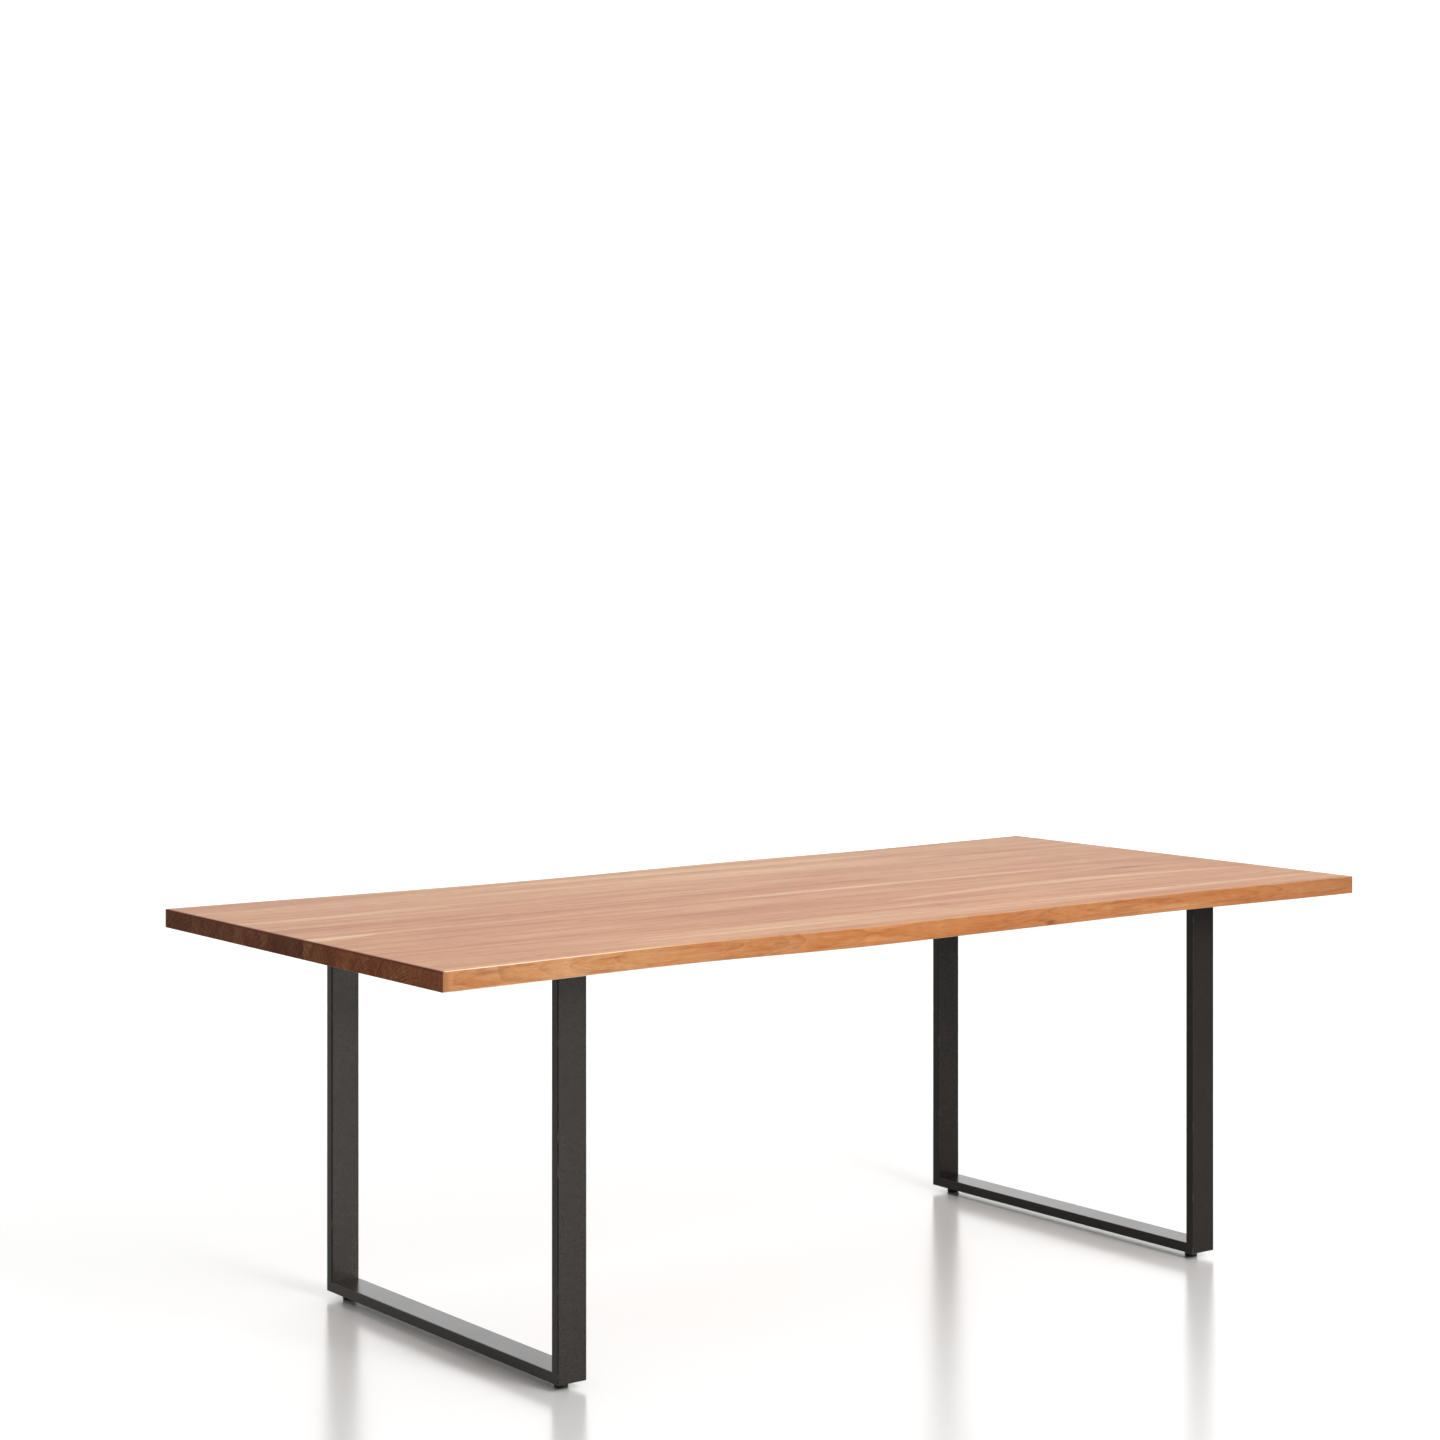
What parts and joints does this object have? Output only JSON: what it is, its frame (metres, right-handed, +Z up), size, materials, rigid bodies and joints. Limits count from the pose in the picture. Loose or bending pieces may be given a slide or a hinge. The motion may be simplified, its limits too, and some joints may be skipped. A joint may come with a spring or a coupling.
{
  "type": "butcher block table",
  "caption": "Long dining table: thick edge-glued hardwood top with gently wavy long edges, on closed rectangular frames of dark powder-coated steel tube with round levelling glides.",
  "frame": {"origin": "on the floor, at the centre of the table's overall box", "axes": "+X along the table's length, +Y across it to the back edge, +Z up"},
  "size_m": [2.2, 1.0298, 0.762],
  "materials": {
    "top_wood": "oiled, satin",
    "frame_coat": "fine-textured powder coat, satin",
    "zinc_steel": "zinc plated",
    "glide_plastic": "moulded, matt"
  },
  "bodies": {
    "table": {"stave_1_back_edge": "top_wood", "stave_2": "top_wood", "stave_3": "top_wood", "stave_4": "top_wood", "stave_5": "top_wood", "stave_6": "top_wood", "stave_7": "top_wood", "stave_8_front_edge": "top_wood", "left_frame_bottom_rail": "frame_coat", "left_frame_top_rail": "frame_coat", "left_frame_front_post": "frame_coat", "left_frame_back_post": "frame_coat", "left_frame_inserts": "zinc_steel", "left_frame_washers": "zinc_steel", "left_frame_screws": "zinc_steel", "left_frame_glide_nuts": "zinc_steel", "right_frame_bottom_rail": "frame_coat", "right_frame_top_rail": "frame_coat", "right_frame_front_post": "frame_coat", "right_frame_back_post": "frame_coat", "right_frame_inserts": "zinc_steel", "right_frame_washers": "zinc_steel", "right_frame_screws": "zinc_steel", "right_frame_glide_nuts": "zinc_steel"},
    "left_front_pad": {"left_front_glide_pad": "glide_plastic"},
    "left_front_stem": {"left_front_glide_stem": "zinc_steel"},
    "left_back_pad": {"left_back_glide_pad": "glide_plastic"},
    "left_back_stem": {"left_back_glide_stem": "zinc_steel"},
    "right_front_pad": {"right_front_glide_pad": "glide_plastic"},
    "right_front_stem": {"right_front_glide_stem": "zinc_steel"},
    "right_back_pad": {"right_back_glide_pad": "glide_plastic"},
    "right_back_stem": {"right_back_glide_stem": "zinc_steel"}
  },
  "joints": [
    {"name": "left_front_glide_lift", "type": "slide", "parent": "table", "child": "left_front_pad", "axis": [0, 0, -1], "range_m": [0, 0.01]},
    {"name": "left_front_glide_turn", "type": "hinge", "parent": "left_front_pad", "child": "left_front_stem", "pos_m": [-0.77, -0.365, 0.02], "axis": [0, 0, -1], "range_deg": [0, 2880]},
    {"name": "left_back_glide_lift", "type": "slide", "parent": "table", "child": "left_back_pad", "axis": [0, 0, -1], "range_m": [0, 0.01]},
    {"name": "left_back_glide_turn", "type": "hinge", "parent": "left_back_pad", "child": "left_back_stem", "pos_m": [-0.77, 0.365, 0.02], "axis": [0, 0, -1], "range_deg": [0, 2880]},
    {"name": "right_front_glide_lift", "type": "slide", "parent": "table", "child": "right_front_pad", "axis": [0, 0, -1], "range_m": [0, 0.01]},
    {"name": "right_front_glide_turn", "type": "hinge", "parent": "right_front_pad", "child": "right_front_stem", "pos_m": [0.77, -0.365, 0.02], "axis": [0, 0, -1], "range_deg": [0, 2880]},
    {"name": "right_back_glide_lift", "type": "slide", "parent": "table", "child": "right_back_pad", "axis": [0, 0, -1], "range_m": [0, 0.01]},
    {"name": "right_back_glide_turn", "type": "hinge", "parent": "right_back_pad", "child": "right_back_stem", "pos_m": [0.77, 0.365, 0.02], "axis": [0, 0, -1], "range_deg": [0, 2880]}
  ],
  "couplings": [
    {"joint": "left_front_glide_lift", "follows": "left_front_glide_turn", "m_per_rad": 0.00019894},
    {"joint": "left_back_glide_lift", "follows": "left_back_glide_turn", "m_per_rad": 0.00019894},
    {"joint": "right_front_glide_lift", "follows": "right_front_glide_turn", "m_per_rad": 0.00019894},
    {"joint": "right_back_glide_lift", "follows": "right_back_glide_turn", "m_per_rad": 0.00019894}
  ]
}
